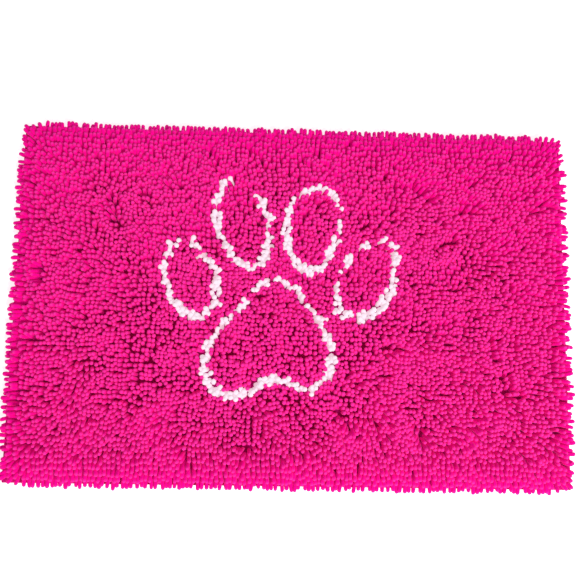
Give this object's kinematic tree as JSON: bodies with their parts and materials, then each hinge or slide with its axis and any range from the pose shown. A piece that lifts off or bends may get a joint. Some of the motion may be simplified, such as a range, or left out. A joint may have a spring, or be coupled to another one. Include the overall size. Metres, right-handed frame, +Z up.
{
  "type": "chenille pet doormat",
  "caption": "Flat rectangular mat of soft chenille noodles with a paw outline, hemmed all round on a grip backing, for drying a pet's feet.",
  "frame": {"origin": "middle of the underside, on the floor that the mat lies on", "axes": "+X along the mat's long side, +Y across it towards the paw's toes, +Z up through the pile"},
  "size_m": [0.803, 0.524, 0.024],
  "materials": {
    "pink_chenille": "soft matt microfibre chenille, hot pink",
    "white_chenille": "soft matt microfibre chenille, white",
    "hem_cloth": "plain woven polyester binding, pink",
    "ground_cloth": "plain woven polyester, deep pink",
    "seam_thread": "twisted polyester sewing thread, pink",
    "grip_backing": "matt pale grey grip coating with small raised dots"
  },
  "bodies": {
    "root": {"nonslip_backing": "grip_backing", "ground_cloth": "ground_cloth", "hem_front": "hem_cloth", "hem_right": "hem_cloth", "hem_back": "hem_cloth", "hem_left": "hem_cloth", "hem_thread_front": "seam_thread", "hem_thread_right": "seam_thread", "hem_thread_back": "seam_thread", "hem_thread_left": "seam_thread", "pile_edge_front": "pink_chenille", "pile_edge_right": "pink_chenille", "pile_edge_back": "pink_chenille", "pile_edge_left": "pink_chenille", "pile_round_paw": "pink_chenille", "pile_left": "pink_chenille", "pile_right": "pink_chenille", "pile_front": "pink_chenille", "pile_back": "pink_chenille", "pile_heel_pad": "pink_chenille", "pile_toe_outer_left": "pink_chenille", "pile_toe_inner_left": "pink_chenille", "pile_toe_inner_right": "pink_chenille", "pile_toe_outer_right": "pink_chenille", "outline_heel_pad": "white_chenille", "outline_toe_outer_left": "white_chenille", "outline_toe_inner_left": "white_chenille", "outline_toe_inner_right": "white_chenille", "outline_toe_outer_right": "white_chenille"}
  },
  "joints": []
}
